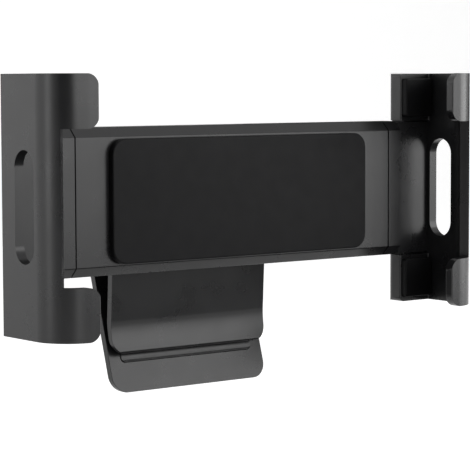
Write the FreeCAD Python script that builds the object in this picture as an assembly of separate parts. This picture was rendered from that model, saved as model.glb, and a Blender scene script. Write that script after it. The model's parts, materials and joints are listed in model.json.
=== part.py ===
"""Tablet holder with two sliding jaws, a turning and tilting head and a wide spring clip.

Lengths are in millimetres. X runs along the bar, Y from the tablet's face to the back, Z up.
The holder is drawn with the bar's centre at X = 0 and Z = 0 and the front of the lips at Y = 0.
The last step moves every piece so that the middle of the clip's bite is the origin.
"""
import FreeCAD, Part
import math
import os

V = FreeCAD.Vector

# Jaws
jaw_height = 80.0
jaw_depth = 31.2
jaw_wall = 3.2
jaw_corner = 12.0            # outside radius of the bent front corner
back_corner = 0.5
inner_corner = 0.5
lip_reach = 15.1            # front lip, from the wall's outer face
rear_lip_reach = 16.7       # rear lip, from the wall's outer face
lip_height = 16.4
lip_edge = 0.5
lip_corner = 4.2
rear_lip_round = 3.0        # on the back of its free edge
rear_lip_front_round = 0.5
rear_lip_corner = 1.5       # seen from the front
slot_front = 13.0
slot_back = 23.5
slot_half_height = 17.2
collar_length = 5.5
neck_length = 13.5          # from the collar to the side wall
neck_inset = 0.8
neck_shoulder = 2.3         # neck that shows between the collar and the rear lips
neck_full_depth = 7.0       # neck kept at full depth behind the collar
neck_fall = 2.8             # front of the neck falls back by this much towards the wall

# Bar
bar_front = 24.2
bar_half_length = 65.2
bar_half_height = 23.4
bar_bevel = 3.1
bar_edge = 0.5
housing_wall = 2.0
collar_gap = 0.4

# Soft pads
pad_length = 105.6
pad_height = 39.4
pad_thickness = 2.4
pad_corner = 5.0
grip_margin_low = 1.3
grip_margin_high = 1.7
grip_gap_to_wall = 0.5
grip_corner = 1.0

# Slider tongues, rack and pinion
tongue_thickness = 3.8
tongue_seat = 10.2          # length held in the jaw
tongue_end_bridge = 1.7
tongue_end_clearance = 0.9  # left beside the bar's end wall, jaws closed
slide_clearance = 0.3
seat_clearance = 0.1
gear_module = 1.0
pinion_teeth = 18
pressure_angle = math.radians(20)
dedendum = 1.25
tooth_backlash = 0.1        # taken from each tooth of rack and pinion
window_clearance = 0.6
lug_width = 3.0
lug_past_spring = 1.1
spring_radius = 2.0
spring_wire = 0.5

# Screws and posts
screw_boss_radius = 2.8
screw_boss_inset = 7.9      # boss centre, from the end of the bar
screw_boss_margin = 0.4     # above and below a boss
screw_radius = 1.1
screw_head_radius = 2.2
screw_head_height = 1.3
screw_clearance = 0.05
jaw_screw_head_height = 0.7
jaw_screw_from_seat_end = 3.0
jaw_screw_height = 9.0
shoulder_radius = 2.5
shoulder_head_radius = 4.2
shoulder_head_height = 1.2
shoulder_thread_radius = 1.4
post_boss_radius = 3.8
post_boss_height = 2.0
running_clearance = 0.05

# Turning and tilting head
turret_radius = 17.0
turret_height = 3.0
turret_wall = 1.6
turret_side_wall = 2.0
hub_radius = 7.0
retainer_side_gap = 1.0
retainer_thickness = 1.8
head_gap = 0.1
flange_inset = 0.5          # flange's rim, inside the turret's
flange_thickness = 2.2
knuckle_wall = 2.3
knuckle_half_width = 7.0
knuckle_gap = 0.2           # between the ears' ends and the flange
tilt_pin_radius = 2.0
tilt_ear_thickness = 4.0
tilt_ear_root = 8.0
washer_thickness = 0.6
washer_rim = 2.0            # washer, beyond the bolt
bolt_head_rim = 1.6         # head and nut, beyond the bolt
bolt_head_height = 2.4
nut_height = 2.6
bolt_past_nut = 0.6
hub_screw_radius = 0.9
hub_screw_circle = 4.2
hub_screw_end_wall = 0.7    # flange left beyond the screws' tips
hub_hole_past_tip = 0.2
hub_screw_head_radius = 1.7
hub_screw_head_height = 0.9
hub_screw_count = 2

# Clip
clip_half_width = 32.4
clip_corner = 5.5
clip_top = 18.0
clip_plate = 2.4
clip_from_tilt = 6.6        # front plate's bend, behind the tilt axis
front_plate_bend_z = -43.0
front_plate_end_z = -53.0
front_plate_lean = math.radians(3)
front_lip_flare = math.radians(10.8)
front_plate_bend_radius = 8.0
lip_end_round = 1.0
rear_plate_end_z = -65.9
rear_plate_lean = math.radians(16.5)
bite_z = -46.0
bite_gap = 0.3
clip_pad_half_width = 27.5
clip_pad_corner = 1.5
front_grip_thickness = 1.6
front_grip_height = 20.0
rear_grip_thickness = 1.2
rear_grip_proud = 0.3
rear_grip_low = -56.0
rear_grip_high = -36.0
hinge_z = -8.0
hinge_pin_radius = 2.0
hinge_lobe_wall = 2.5
hinge_ear_root = 9.0
hinge_ear_thickness = 3.0
hinge_ear_outer = 27.4
hinge_ear_gap = 0.2
hinge_ring_rim = 1.6        # ring, beyond the pin
hinge_ring_thickness = 0.8
coil_wire = 0.6
coil_clearance = 0.4        # between the pin and the coil
coil_half_length = 5.0
coil_leg_height = 16.0

# Places worked out from the sizes above
collar_start = bar_half_length + collar_gap
collar_end = collar_start + collar_length
jaw_inner = collar_end + neck_length
jaw_outer = jaw_inner + jaw_wall
lip_end = jaw_outer - lip_reach
rear_lip_end = jaw_outer - rear_lip_reach
lip_bottom = jaw_height / 2 - lip_height
layer_front = bar_front + housing_wall + slide_clearance
split_y = layer_front + tongue_thickness + slide_clearance / 2
layer_rear = split_y + slide_clearance / 2
cavity_back = layer_rear + tongue_thickness + slide_clearance
bar_back = cavity_back + housing_wall
pitch_radius = gear_module * pinion_teeth / 2
pinion_outer = pitch_radius + gear_module
tongue_half_height = bar_half_height - housing_wall - 2 * (screw_boss_radius + screw_boss_margin)
screw_boss_height = tongue_half_height + screw_boss_margin + screw_boss_radius
lug_height = screw_boss_height - tongue_half_height + lug_past_spring
window_reach = bar_half_length - housing_wall - tongue_end_clearance - tongue_end_bridge
jaw_travel = window_reach - pinion_outer - window_clearance
turret_back = bar_back + turret_height
turret_end_inner = turret_back - turret_wall
retainer_back = turret_end_inner - head_gap
retainer_front = retainer_back - retainer_thickness
retainer_radius = turret_radius - turret_side_wall - retainer_side_gap
flange_radius = turret_radius - flange_inset
flange_front = turret_back + 2 * head_gap
flange_back = flange_front + flange_thickness
hub_screw_length = flange_back - hub_screw_end_wall - retainer_front
knuckle_radius = tilt_pin_radius + knuckle_wall
washer_radius = tilt_pin_radius + washer_rim
bolt_head_radius = tilt_pin_radius + bolt_head_rim
tilt_y = flange_back + knuckle_radius + knuckle_gap
front_plate_bend_y = tilt_y + clip_from_tilt
hinge_lobe = hinge_pin_radius + hinge_lobe_wall
hinge_ring_radius = hinge_pin_radius + hinge_ring_rim
coil_inner_radius = hinge_pin_radius + coil_clearance


def in_xy(z):
    return lambda u, v: V(u, v, z)


def in_xz(y):
    return lambda u, v: V(u, y, v)


def in_yz(x):
    return lambda u, v: V(x, u, v)


def unit(vector):
    length = math.hypot(*vector)
    return vector[0] / length, vector[1] / length


def rounded_wire(corners, place):
    """Closed wire through corners (u, v, radius); place puts a flat point into the model."""
    edges = []
    count = len(corners)
    ends = []
    for index, (u, v, radius) in enumerate(corners):
        before = corners[index - 1]
        after = corners[(index + 1) % count]
        into = unit((u - before[0], v - before[1]))
        out = unit((after[0] - u, after[1] - v))
        turn = math.acos(max(-1.0, min(1.0, into[0] * out[0] + into[1] * out[1])))
        setback = radius * math.tan(turn / 2)
        start = (u - into[0] * setback, v - into[1] * setback)
        end = (u + out[0] * setback, v + out[1] * setback)
        middle = None
        if radius > 0:
            inward = unit((out[0] - into[0], out[1] - into[1]))
            reach = radius / math.cos(turn / 2) - radius
            middle = (u + inward[0] * reach, v + inward[1] * reach)
        ends.append((start, middle, end))
    for index, (start, middle, end) in enumerate(ends):
        last = ends[index - 1][2]
        if math.dist(last, start) > 1e-6:
            edges.append(Part.LineSegment(place(*last), place(*start)).toShape())
        if middle:
            edges.append(Part.Arc(place(*start), place(*middle), place(*end)).toShape())
    return Part.Wire(edges)


def slab(corners, place, direction):
    """Solid with the rounded outline, drawn out along direction."""
    return Part.Face(rounded_wire(corners, place)).extrude(direction)


def rectangle(u_low, u_high, v_low, v_high, radius=0.0):
    return [(u_low, v_low, radius), (u_high, v_low, radius),
            (u_high, v_high, radius), (u_low, v_high, radius)]


def block(x, y, z):
    """Box from three (low, high) pairs."""
    return Part.makeBox(x[1] - x[0], y[1] - y[0], z[1] - z[0], V(x[0], y[0], z[0]))


def rod_x(radius, x_low, x_high, y, z):
    return Part.makeCylinder(radius, x_high - x_low, V(x_low, y, z), V(1, 0, 0))


def rod_y(radius, y_low, y_high, x=0.0, z=0.0):
    return Part.makeCylinder(radius, y_high - y_low, V(x, y_low, z), V(0, 1, 0))


def half_turn(shape):
    """The matching piece on the other side of the bar."""
    turned = shape.copy()
    turned.rotate(V(0, 0, 0), V(0, 1, 0), 180)
    return turned


def on_both_sides(shape):
    """The shape and its mirror image across the middle plane, as one."""
    return shape.fuse(shape.mirror(V(0, 0, 0), V(1, 0, 0)))


def bar_section(inset, edge=0.0):
    """The bar's bevelled cross-section, taken in by inset all round."""
    front = bar_front + inset
    back = bar_back - inset
    top = bar_half_height - inset
    bevel = bar_bevel - inset * (2 - math.sqrt(2))
    quarter = [(front, top - bevel), (front + bevel, top), (back - bevel, top), (back, top - bevel)]
    below = [(y, -z) for y, z in reversed(quarter)]
    return [(y, z, edge) for y, z in quarter + below]


def corner_sliver(x, z, toward_x, toward_z, radius, y):
    """What rounding a plate's corner at (x, z) takes off, over the depth y = (low, high)."""
    centre_x = x + toward_x * radius
    centre_z = z + toward_z * radius
    corner = block(sorted((x, centre_x)), y, sorted((z, centre_z)))
    return corner.cut(rod_y(radius, y[0], y[1], centre_x, centre_z))


def jaw_side_window():
    """Gap between the upper and lower front lips, ending on a radial cut of the bent corner."""
    centre = (jaw_outer - jaw_corner, jaw_corner)
    reach = 2 * jaw_corner
    cut = [(centre[0], centre[1], 0), (centre[0] + reach, centre[1] - reach, 0),
           (lip_end - reach, centre[1] - reach, 0), (lip_end - reach, centre[1], 0)]
    return slab(cut, in_xy(-lip_bottom), V(0, 0, 2 * lip_bottom))


def jaw_slot():
    """Long hole with round ends in the side wall."""
    radius = (slot_back - slot_front) / 2
    outline = rectangle(slot_front, slot_back, -slot_half_height, slot_half_height, radius * 0.999)
    return slab(outline, in_yz(jaw_inner - jaw_wall), V(3 * jaw_wall, 0, 0))


def neck_front():
    return bar_front + neck_inset


def neck():
    """Carries the collar from the jaw's back, tapering to the back's thickness."""
    back = bar_back - neck_inset
    buried = jaw_inner + jaw_wall / 2
    outline = [(collar_end, neck_front(), 0), (collar_end + neck_shoulder, neck_front(), 0),
               (jaw_inner, neck_front() + neck_fall, 0), (buried, neck_front() + neck_fall, 0),
               (buried, jaw_depth, 0), (jaw_inner, jaw_depth, 0),
               (collar_end + neck_full_depth, back, 1.0), (collar_end, back, 0)]
    height = bar_half_height - neck_inset
    body = slab(outline, in_xy(-height), V(0, 0, 2 * height))
    return body.common(slab(bar_section(neck_inset), in_yz(collar_end), V(jaw_outer - collar_end, 0, 0)))


def tongue_seat_end():
    return collar_start + tongue_seat


def jaw_screw_places():
    x = tongue_seat_end() - jaw_screw_from_seat_end
    return [(x, -jaw_screw_height), (x, jaw_screw_height)]


def jaw(tongue_front):
    """Right jaw: C-shaped wall and lips, collar and neck with the seat of its tongue."""
    section = [
        (lip_end, 0, lip_edge), (jaw_outer, 0, jaw_corner), (jaw_outer, jaw_depth, back_corner),
        (rear_lip_end, jaw_depth, rear_lip_round), (rear_lip_end, bar_front, rear_lip_front_round),
        (jaw_inner, bar_front, inner_corner), (jaw_inner, jaw_wall, jaw_corner - jaw_wall),
        (lip_end, jaw_wall, lip_edge),
    ]
    body = slab(section, in_xy(-jaw_height / 2), V(0, 0, jaw_height))
    body = body.cut(jaw_side_window()).cut(jaw_slot())
    lip_depth = (-1.0, jaw_wall + 1.0)
    rear_lip_depth = (bar_front - 1.0, jaw_depth + 1.0)
    for sign in (-1, 1):
        outer_z = sign * jaw_height / 2
        body = body.cut(corner_sliver(lip_end, outer_z, 1, -sign, lip_corner, lip_depth))
        body = body.cut(corner_sliver(lip_end, sign * lip_bottom, 1, sign, lip_corner, lip_depth))
        body = body.cut(corner_sliver(rear_lip_end, outer_z, 1, -sign, rear_lip_corner, rear_lip_depth))
    shoulder = collar_end + neck_shoulder
    between_lips = (-lip_bottom, lip_bottom)
    body = body.cut(block((rear_lip_end - 1, shoulder), (bar_front - 1, jaw_depth + 1), between_lips))
    before_neck = [(shoulder - 1, bar_front - 1, 0), (jaw_inner, bar_front - 1, 0),
                   (jaw_inner, neck_front() + neck_fall, 0), (shoulder, neck_front(), 0),
                   (shoulder - 1, neck_front(), 0)]
    body = body.cut(slab(before_neck, in_xy(-lip_bottom), V(0, 0, 2 * lip_bottom)))
    collar = slab(bar_section(0, bar_edge), in_yz(collar_start), V(collar_length, 0, 0))
    body = body.fuse(collar).fuse(neck())
    seat_y = (tongue_front - seat_clearance, tongue_front + tongue_thickness + seat_clearance)
    seat_z = tongue_half_height + seat_clearance
    body = body.cut(block((collar_start - 1, tongue_seat_end() + seat_clearance), seat_y, (-seat_z, seat_z)))
    back = bar_back - neck_inset
    for x, z in jaw_screw_places():
        body = body.cut(rod_y(screw_radius + screw_clearance, tongue_front, back + 1, x, z))
        recess = rod_y(screw_head_radius + screw_clearance, back - jaw_screw_head_height, back + 1, x, z)
        body = body.cut(recess)
    return body.removeSplitter()


def jaw_screws(tongue_front):
    """The two screws that hold a tongue in its jaw, from behind."""
    back = bar_back - neck_inset
    tip = tongue_front + 1.0
    screws = []
    for x, z in jaw_screw_places():
        shank = rod_y(screw_radius, tip, back - jaw_screw_head_height, x, z)
        head = rod_y(screw_head_radius, back - jaw_screw_head_height, back, x, z)
        screws.append(shank.fuse(head).removeSplitter())
    return Part.makeCompound(screws)


def grip_pad(upper):
    """Soft pad on a rear lip of the right jaw."""
    low = lip_bottom + grip_margin_low
    high = jaw_height / 2 - grip_margin_high
    if not upper:
        low, high = -high, -low
    left = rear_lip_end + rear_lip_front_round + 0.1
    outline = rectangle(left, jaw_inner - grip_gap_to_wall, low, high, grip_corner)
    return slab(outline, in_xz(bar_front - pad_thickness), V(0, pad_thickness, 0))


def front_pad():
    half = pad_length / 2
    outline = rectangle(-half, half, -pad_height / 2, pad_height / 2, pad_corner)
    return slab(outline, in_xz(bar_front - pad_thickness), V(0, pad_thickness, 0))


def rack_window():
    """Opening in the right tongue round the pinion, with the rack's teeth along its lower side."""
    pitch = math.pi * gear_module
    root_z = -(pitch_radius + dedendum * gear_module)
    tip_z = -(pitch_radius - gear_module)
    half_pitch_line = pitch / 4 - tooth_backlash / 2
    half_tip = half_pitch_line - gear_module * math.tan(pressure_angle)
    half_root = half_pitch_line + dedendum * gear_module * math.tan(pressure_angle)
    left = -window_reach
    right = pinion_outer + 2 * window_clearance
    corners = [(left, root_z, 0), (left, pinion_outer + window_clearance, 1.0),
               (right, pinion_outer + window_clearance, 1.0), (right, root_z, 0)]
    last = math.floor((right - half_root) / pitch)
    first = math.ceil((left + half_root) / pitch)
    for tooth in range(last, first - 1, -1):
        x = tooth * pitch
        corners += [(x + half_root, root_z, 0), (x + half_tip, tip_z, 0),
                    (x - half_tip, tip_z, 0), (x - half_root, root_z, 0)]
    return corners, left


def tongue(front):
    """Right slider tongue: a flat bar with its rack, its spring lug and two screw holes."""
    window, window_left = rack_window()
    inner_end = window_left - tongue_end_bridge
    outline = rectangle(inner_end, tongue_seat_end(), -tongue_half_height, tongue_half_height, 1.0)
    direction = V(0, tongue_thickness, 0)
    body = slab(outline, in_xz(front), direction).cut(slab(window, in_xz(front), direction))
    lug_z = (-tongue_half_height - lug_height, -tongue_half_height)
    body = body.fuse(block((-lug_width / 2, lug_width / 2), (front, front + tongue_thickness), lug_z))
    for x, z in jaw_screw_places():
        hole = rod_y(screw_radius + screw_clearance, front - 1, front + tongue_thickness + 1, x, z)
        body = body.cut(hole)
    return body.removeSplitter()


def return_spring(front):
    """Coil that draws the right jaw in, shown as its outer form, from the lug to the far boss."""
    start = -(bar_half_length - screw_boss_inset) + screw_boss_radius + slide_clearance
    end = -lug_width / 2 - slide_clearance
    y = front + tongue_thickness / 2
    z = -screw_boss_height
    coil = rod_x(spring_radius, start, end, y, z)
    return coil.cut(rod_x(spring_radius - spring_wire, start, end, y, z))


def polar(radius, angle, y):
    return V(radius * math.cos(angle), y, radius * math.sin(angle))


def involute(angle):
    return math.tan(angle) - angle


def pinion():
    """Spur gear between the two racks, with a gap between teeth facing each rack at rest."""
    base = pitch_radius * math.cos(pressure_angle)
    root = pitch_radius - dedendum * gear_module
    thickness = math.pi * gear_module / 2 - tooth_backlash
    half_at_pitch = thickness / 2 / pitch_radius
    y = layer_front

    def half_angle(radius):
        return half_at_pitch + involute(pressure_angle) - involute(math.acos(base / radius))

    edges = []
    radii = (base, (base + pinion_outer) / 2, pinion_outer)
    step = 2 * math.pi / pinion_teeth
    for tooth in range(pinion_teeth):
        centre = math.pi / 2 + (tooth + 0.5) * step
        rising = [polar(radius, centre - half_angle(radius), y) for radius in radii]
        falling = [polar(radius, centre + half_angle(radius), y) for radius in reversed(radii)]
        foot = half_angle(base)
        next_foot = polar(root, centre + step - foot, y)
        root_start = polar(root, centre - foot, y)
        root_end = polar(root, centre + foot, y)
        edges.append(Part.LineSegment(root_start, rising[0]).toShape())
        edges.append(Part.Arc(*rising).toShape())
        edges.append(Part.LineSegment(rising[-1], falling[0]).toShape())
        edges.append(Part.Arc(*falling).toShape())
        edges.append(Part.LineSegment(falling[-1], root_end).toShape())
        edges.append(Part.LineSegment(root_end, next_foot).toShape())
    back = layer_rear + tongue_thickness
    gear = Part.Face(Part.Wire(edges)).extrude(V(0, back - y, 0))
    gear = gear.cut(rod_y(shoulder_radius + running_clearance, y - 1, back + 1))
    boss_top = bar_front + housing_wall + post_boss_height
    return gear.cut(rod_y(post_boss_radius + slide_clearance, y - 1, boss_top + slide_clearance))


def pinion_screw():
    """Shoulder screw that the pinion turns on."""
    seat = bar_front + housing_wall + post_boss_height
    under_head = layer_rear + tongue_thickness + head_gap
    thread = rod_y(shoulder_thread_radius, bar_front + housing_wall / 2, seat)
    shoulder = rod_y(shoulder_radius, seat, under_head)
    head = rod_y(shoulder_head_radius, under_head, under_head + shoulder_head_height)
    return thread.fuse(shoulder).fuse(head).removeSplitter()


def screw_boss_places():
    x = bar_half_length - screw_boss_inset
    return [(side * x, up * screw_boss_height) for side in (-1, 1) for up in (-1, 1)]


def housing_shell(y_low, y_high):
    """The part of the hollow bar between two planes."""
    outer = slab(bar_section(0, bar_edge), in_yz(-bar_half_length), V(2 * bar_half_length, 0, 0))
    inner_half = bar_half_length - housing_wall
    inner = slab(bar_section(housing_wall), in_yz(-inner_half), V(2 * inner_half, 0, 0))
    everything = (-bar_half_length - 1, bar_half_length + 1)
    height = (-bar_half_height - 1, bar_half_height + 1)
    return outer.cut(inner).common(block(everything, (y_low, y_high), height))


def tongue_gate(side, y):
    """Opening in an end wall that a tongue slides through; side is -1 for the left end."""
    half = tongue_half_height + slide_clearance
    x = sorted((side * (bar_half_length - housing_wall - 1), side * (bar_half_length + 1)))
    return block(x, y, (-half, half))


def front_housing():
    inner = bar_front + housing_wall
    body = housing_shell(bar_front - 1, split_y)
    body = body.cut(tongue_gate(-1, (inner, split_y + 1)))
    body = body.fuse(rod_y(post_boss_radius, inner, inner + post_boss_height))
    body = body.cut(rod_y(shoulder_thread_radius + screw_clearance, bar_front + housing_wall / 2,
                          inner + post_boss_height + 1))
    for x, z in screw_boss_places():
        body = body.fuse(rod_y(screw_boss_radius, inner, split_y, x, z))
        body = body.cut(rod_y(screw_radius + screw_clearance, inner, split_y + 1, x, z))
    return body.removeSplitter()


def rear_housing():
    """Back half of the bar, with the round turret that the head turns in."""
    body = housing_shell(split_y, bar_back + 1)
    body = body.cut(tongue_gate(1, (split_y - 1, cavity_back)))
    for x, z in screw_boss_places():
        body = body.fuse(rod_y(screw_boss_radius, split_y, cavity_back, x, z))
        body = body.cut(rod_y(screw_radius + 4 * screw_clearance, split_y - 1, bar_back + 1, x, z))
        head_seat = bar_back - screw_head_height
        body = body.cut(rod_y(screw_head_radius + screw_clearance, head_seat, bar_back + 1, x, z))
    body = body.fuse(rod_y(turret_radius, bar_back - housing_wall, turret_back))
    body = body.cut(rod_y(turret_radius - turret_side_wall, bar_back - 2 * housing_wall, turret_end_inner))
    body = body.cut(rod_y(hub_radius + head_gap, bar_back, turret_back + 1))
    return body.removeSplitter()


def housing_screws():
    """Four screws that close the bar from behind."""
    screws = []
    seat = bar_back - screw_head_height
    for x, z in screw_boss_places():
        shank = rod_y(screw_radius, bar_front + housing_wall + 1.5, seat, x, z)
        screws.append(shank.fuse(rod_y(screw_head_radius, seat, bar_back, x, z)).removeSplitter())
    return Part.makeCompound(screws)


def hub_screw_places():
    turns = [math.pi / 2 + 2 * math.pi * index / hub_screw_count for index in range(hub_screw_count)]
    return [(hub_screw_circle * math.cos(turn), hub_screw_circle * math.sin(turn)) for turn in turns]


def swivel_retainer():
    """Disc inside the turret that keeps the head on the bar."""
    disc = rod_y(retainer_radius, retainer_front, retainer_back)
    for x, z in hub_screw_places():
        disc = disc.cut(rod_y(hub_screw_radius + screw_clearance, retainer_front, retainer_back, x, z))
        head_depth = retainer_front + hub_screw_head_height
        disc = disc.cut(rod_y(hub_screw_head_radius + screw_clearance, retainer_front, head_depth, x, z))
    return disc


def swivel_screws():
    screws = []
    for x, z in hub_screw_places():
        seat = retainer_front + hub_screw_head_height
        head = rod_y(hub_screw_head_radius, retainer_front, seat, x, z)
        shank = rod_y(hub_screw_radius, seat, retainer_front + hub_screw_length, x, z)
        screws.append(head.fuse(shank).removeSplitter())
    return Part.makeCompound(screws)


def swivel_head():
    """Hub that turns in the turret, its flange, and the knuckle that the clip's ears hold."""
    hub = rod_y(hub_radius, retainer_back, flange_front)
    flange = rod_y(flange_radius, flange_front, flange_back)
    width = (-knuckle_half_width, knuckle_half_width)
    web = block(width, (flange_back - 0.5, tilt_y), (-knuckle_radius, knuckle_radius))
    eye = rod_x(knuckle_radius, width[0], width[1], tilt_y, 0)
    body = hub.fuse(flange).fuse(web).fuse(eye)
    body = body.cut(rod_x(tilt_pin_radius + running_clearance, width[0] - 1, width[1] + 1, tilt_y, 0))
    for x, z in hub_screw_places():
        tip = retainer_front + hub_screw_length + hub_hole_past_tip
        body = body.cut(rod_y(hub_screw_radius + screw_clearance, retainer_back, tip, x, z))
    return body.removeSplitter()


def tilt_ear_start():
    return knuckle_half_width + washer_thickness + 2 * head_gap


def tilt_washers():
    """Friction washers between the knuckle and the ears."""
    start = knuckle_half_width + head_gap
    washers = []
    for x in (start, -start - washer_thickness):
        disc = rod_x(washer_radius, x, x + washer_thickness, tilt_y, 0)
        hole = rod_x(tilt_pin_radius + running_clearance, x, x + washer_thickness, tilt_y, 0)
        washers.append(disc.cut(hole))
    return Part.makeCompound(washers)


def tilt_bolt():
    outer = tilt_ear_start() + tilt_ear_thickness + head_gap
    shank = rod_x(tilt_pin_radius, -outer, outer + nut_height + bolt_past_nut, tilt_y, 0)
    head = rod_x(bolt_head_radius, -outer - bolt_head_height, -outer, tilt_y, 0)
    return shank.fuse(head).removeSplitter()


def tilt_nut():
    start = tilt_ear_start() + tilt_ear_thickness + head_gap
    sides = 6
    turns = [2 * math.pi * side / sides for side in range(sides)]
    outline = [(tilt_y + bolt_head_radius * math.cos(turn), bolt_head_radius * math.sin(turn), 0)
               for turn in turns]
    nut = slab(outline, in_yz(start), V(nut_height, 0, 0))
    return nut.cut(rod_x(tilt_pin_radius + running_clearance, start, start + nut_height, tilt_y, 0))


def front_plate_y(z):
    """Front surface of the clip's front plate above its bend."""
    return front_plate_bend_y - (z - front_plate_bend_z) * math.tan(front_plate_lean)


def front_plate_back_y(z):
    return front_plate_y(z) + clip_plate / math.cos(front_plate_lean)


def front_lip_y(z):
    """Front surface of the flared lip, below the bend."""
    return front_plate_bend_y - (front_plate_bend_z - z) * math.tan(front_lip_flare)


def bite_y():
    """Middle of the gap between the two grip pads, where the clip closes."""
    plate_back = front_lip_y(bite_z) + clip_plate / math.cos(front_lip_flare)
    return plate_back + front_grip_thickness + bite_gap / 2


def rear_plate_y(z):
    """Front surface of the clip's rear plate."""
    surface = bite_y() + bite_gap / 2 + rear_grip_proud / math.cos(rear_plate_lean)
    return surface + (z - bite_z) * math.tan(rear_plate_lean)


def hinge_y():
    return (front_plate_back_y(hinge_z) + rear_plate_y(hinge_z)) / 2


def clip_outline(z_low):
    """Front view of a clip plate, as a solid to keep inside."""
    outline = rectangle(-clip_half_width, clip_half_width, z_low, clip_top, clip_corner)
    return slab(outline, in_xz(front_plate_bend_y - 20), V(0, 60, 0))


def ear(x_low, thickness, root_y, root_half, y, z, lobe):
    """Flat lug to a round lobe at (y, z) from a plate, where root_y gives y inside the plate at a height."""
    outline = [(root_y(z - root_half), z - root_half, 0), (root_y(z + root_half), z + root_half, 0),
               (y, z + lobe, 0), (y, z - lobe, 0)]
    web = slab(outline, in_yz(x_low), V(thickness, 0, 0))
    return web.fuse(rod_x(lobe, x_low, x_low + thickness, y, z))


def clip_front_plate():
    """Front plate with its flared lip, the ears of the tilt joint and those of the clip's hinge."""
    skew = clip_plate * math.tan((front_plate_lean + front_lip_flare) / 2)
    bottom = front_plate_end_z
    top = clip_top + 1.0
    lip_back = clip_plate / math.cos(front_lip_flare)
    outline = [
        (front_plate_y(top), top, 0), (front_plate_bend_y, front_plate_bend_z, front_plate_bend_radius),
        (front_lip_y(bottom), bottom, lip_end_round),
        (front_lip_y(bottom) + lip_back, bottom, lip_end_round),
        (front_plate_back_y(front_plate_bend_z - skew), front_plate_bend_z - skew / 2,
         front_plate_bend_radius),
        (front_plate_back_y(top), top, 0),
    ]
    width = V(2 * clip_half_width, 0, 0)
    body = slab(outline, in_yz(-clip_half_width), width).common(clip_outline(bottom))

    def inside(z):
        return (front_plate_y(z) + front_plate_back_y(z)) / 2

    tilt_ear = ear(tilt_ear_start(), tilt_ear_thickness, inside, tilt_ear_root, tilt_y, 0, knuckle_radius)
    hinge_ear = ear(hinge_ear_outer - hinge_ear_thickness, hinge_ear_thickness, inside,
                    hinge_ear_root, hinge_y(), hinge_z, hinge_lobe)
    body = body.fuse(on_both_sides(tilt_ear)).fuse(on_both_sides(hinge_ear))
    reach = clip_half_width
    body = body.cut(rod_x(tilt_pin_radius + running_clearance, -reach, reach, tilt_y, 0))
    body = body.cut(rod_x(hinge_pin_radius + running_clearance, -reach, reach, hinge_y(), hinge_z))
    return body.removeSplitter()


def rear_grip_outline(z_low, z_high, proud, depth):
    """Side view of a layer on the rear plate, from proud of its surface down to depth in it."""
    across = 1 / math.cos(rear_plate_lean)
    front = -proud * across
    back = depth * across
    return [(rear_plate_y(z_low) + front, z_low, 0), (rear_plate_y(z_high) + front, z_high, 0),
            (rear_plate_y(z_high) + back, z_high, 0), (rear_plate_y(z_low) + back, z_low, 0)]


def front_view_prism(half_width, z_low, z_high, radius):
    outline = rectangle(-half_width, half_width, z_low, z_high, radius)
    return slab(outline, in_xz(front_plate_bend_y - 20), V(0, 60, 0))


def clip_rear_plate():
    """Rear plate, longer than the front one, with the seat of its grip pad and its hinge ears."""
    bottom = rear_plate_end_z
    top = clip_top + 1.0
    width = V(2 * clip_half_width, 0, 0)
    body = slab(rear_grip_outline(bottom, top, 0, clip_plate), in_yz(-clip_half_width), width)
    body = body.common(clip_outline(bottom))
    seat_depth = rear_grip_thickness - rear_grip_proud
    clearance = seat_clearance
    seat = slab(rear_grip_outline(rear_grip_low - 1, rear_grip_high + 1, 1, seat_depth),
                in_yz(-clip_half_width), width)
    seat = seat.common(front_view_prism(clip_pad_half_width + clearance, rear_grip_low - clearance,
                                        rear_grip_high + clearance, clip_pad_corner))
    body = body.cut(seat)

    def inside(z):
        return rear_plate_y(z) + clip_plate / 2

    inner = hinge_ear_outer - hinge_ear_thickness - hinge_ear_gap - hinge_ear_thickness
    hinge_ear = ear(inner, hinge_ear_thickness, inside, hinge_ear_root, hinge_y(), hinge_z, hinge_lobe)
    body = body.fuse(on_both_sides(hinge_ear))
    hole = rod_x(hinge_pin_radius + running_clearance, -clip_half_width, clip_half_width, hinge_y(), hinge_z)
    return body.cut(hole).removeSplitter()


def rear_grip_pad():
    seat_depth = rear_grip_thickness - rear_grip_proud
    width = V(2 * clip_half_width, 0, 0)
    layer = slab(rear_grip_outline(rear_grip_low - 1, rear_grip_high + 1, rear_grip_proud, seat_depth),
                 in_yz(-clip_half_width), width)
    return layer.common(front_view_prism(clip_pad_half_width, rear_grip_low, rear_grip_high,
                                         clip_pad_corner))


def front_grip_pad():
    """Soft pad on the back of the front plate, down to the bite."""
    top = bite_z + front_grip_height
    bend = front_plate_bend_z
    lip_back = clip_plate / math.cos(front_lip_flare)
    thickness = front_grip_thickness
    outline = [
        (front_plate_back_y(top), top, 0), (front_plate_back_y(bend), bend, 0),
        (front_lip_y(bite_z) + lip_back, bite_z, 0),
        (front_lip_y(bite_z) + lip_back + thickness, bite_z, 0.8),
        (front_plate_back_y(bend) + thickness, bend, 0), (front_plate_back_y(top) + thickness, top, 0.8),
    ]
    layer = slab(outline, in_yz(-clip_pad_half_width), V(2 * clip_pad_half_width, 0, 0))
    layer = layer.common(front_view_prism(clip_pad_half_width, bite_z, top, clip_pad_corner))
    return layer.cut(clip_front_plate())


def clip_pin():
    half = hinge_ear_outer + hinge_ring_thickness + 0.8
    return rod_x(hinge_pin_radius, -half, half, hinge_y(), hinge_z)


def clip_pin_rings():
    """Rings that keep the hinge pin from sliding out."""
    rings = []
    start = hinge_ear_outer + head_gap
    for x in (start, -start - hinge_ring_thickness):
        disc = rod_x(hinge_ring_radius, x, x + hinge_ring_thickness, hinge_y(), hinge_z)
        hole = rod_x(hinge_pin_radius, x, x + hinge_ring_thickness, hinge_y(), hinge_z)
        rings.append(disc.cut(hole))
    return Part.makeCompound(rings)


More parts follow.
